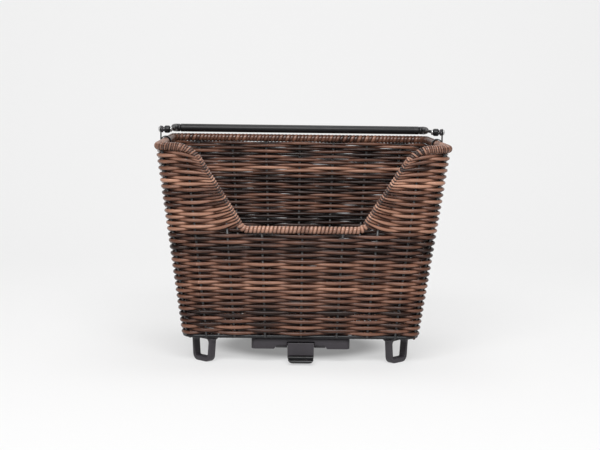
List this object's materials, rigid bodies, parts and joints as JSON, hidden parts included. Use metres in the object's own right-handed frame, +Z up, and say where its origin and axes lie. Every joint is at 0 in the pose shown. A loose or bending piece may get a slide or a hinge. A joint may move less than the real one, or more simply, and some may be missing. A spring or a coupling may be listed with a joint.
{
  "type": "bicycle basket",
  "caption": "Woven rear-rack bicycle basket with a low front edge, a folding bail handle, loop feet and a quick-release rack adapter with a sprung lever.",
  "frame": {"origin": "on the ground under the middle of the basket", "axes": "+Z up, +X to the right seen from the low front edge, -Y towards the low front edge and the release lever"},
  "size_m": [0.4088, 0.31, 0.3203],
  "materials": {
    "brown_strand": "mottled brown synthetic rattan, satin gloss",
    "wrapped_strand": "light brown synthetic rattan, satin gloss",
    "black_wire": "black powder coat on steel",
    "black_plastic": "fine-grained black moulded plastic",
    "grip_sleeve": "satin black sleeve",
    "bright_steel": "zinc-plated steel"
  },
  "bodies": {
    "basket": {"stake_frame": "black_wire", "base_frame": "black_wire", "wicker_walls": "brown_strand", "wicker_floor": "brown_strand", "rim_wrap_back": "wrapped_strand", "rim_wrap_front_left": "wrapped_strand", "rim_wrap_front_right": "wrapped_strand", "cutout_lip_wrap": "wrapped_strand", "cutout_braid_left": "wrapped_strand", "cutout_braid_right": "wrapped_strand", "handle_bracket_left": "black_wire", "handle_bracket_right": "black_wire", "pivot_pin_left": "bright_steel", "pivot_pin_right": "bright_steel", "pivot_washer_left": "black_plastic", "pivot_washer_right": "black_plastic", "foot_front_left": "black_plastic", "foot_front_right": "black_plastic", "foot_back_left": "black_plastic", "foot_back_right": "black_plastic", "foot_screw_front_left": "bright_steel", "foot_screw_front_right": "bright_steel", "foot_screw_back_left": "bright_steel", "foot_screw_back_right": "bright_steel", "foot_washer_front_left": "bright_steel", "foot_washer_front_right": "bright_steel", "foot_washer_back_left": "bright_steel", "foot_washer_back_right": "bright_steel", "adapter_housing": "black_plastic", "clamp_bar_front": "black_wire", "clamp_bar_back": "black_wire", "adapter_screw_front_left": "bright_steel", "adapter_screw_front_right": "bright_steel", "adapter_screw_back_left": "bright_steel", "adapter_screw_back_right": "bright_steel", "lever_pin": "bright_steel", "lever_spring": "bright_steel"},
    "handle": {"bail_rod": "black_wire", "handle_grip": "grip_sleeve", "grip_knuckle_left": "black_plastic", "grip_knuckle_right": "black_plastic"},
    "lever": {"release_lever": "black_plastic"}
  },
  "joints": [
    {"name": "handle_swing", "type": "hinge", "parent": "basket", "child": "handle", "pos_m": [0, 0, 0.315], "axis": [1, 0, 0], "range_deg": [0, 182]},
    {"name": "lever_pull", "type": "hinge", "parent": "basket", "child": "lever", "pos_m": [0, -0.1055, 0.0245], "axis": [-1, 0, 0], "range_deg": [0, 18], "stiffness_Nm_per_rad": 0.4, "springref_deg": -17.19}
  ]
}
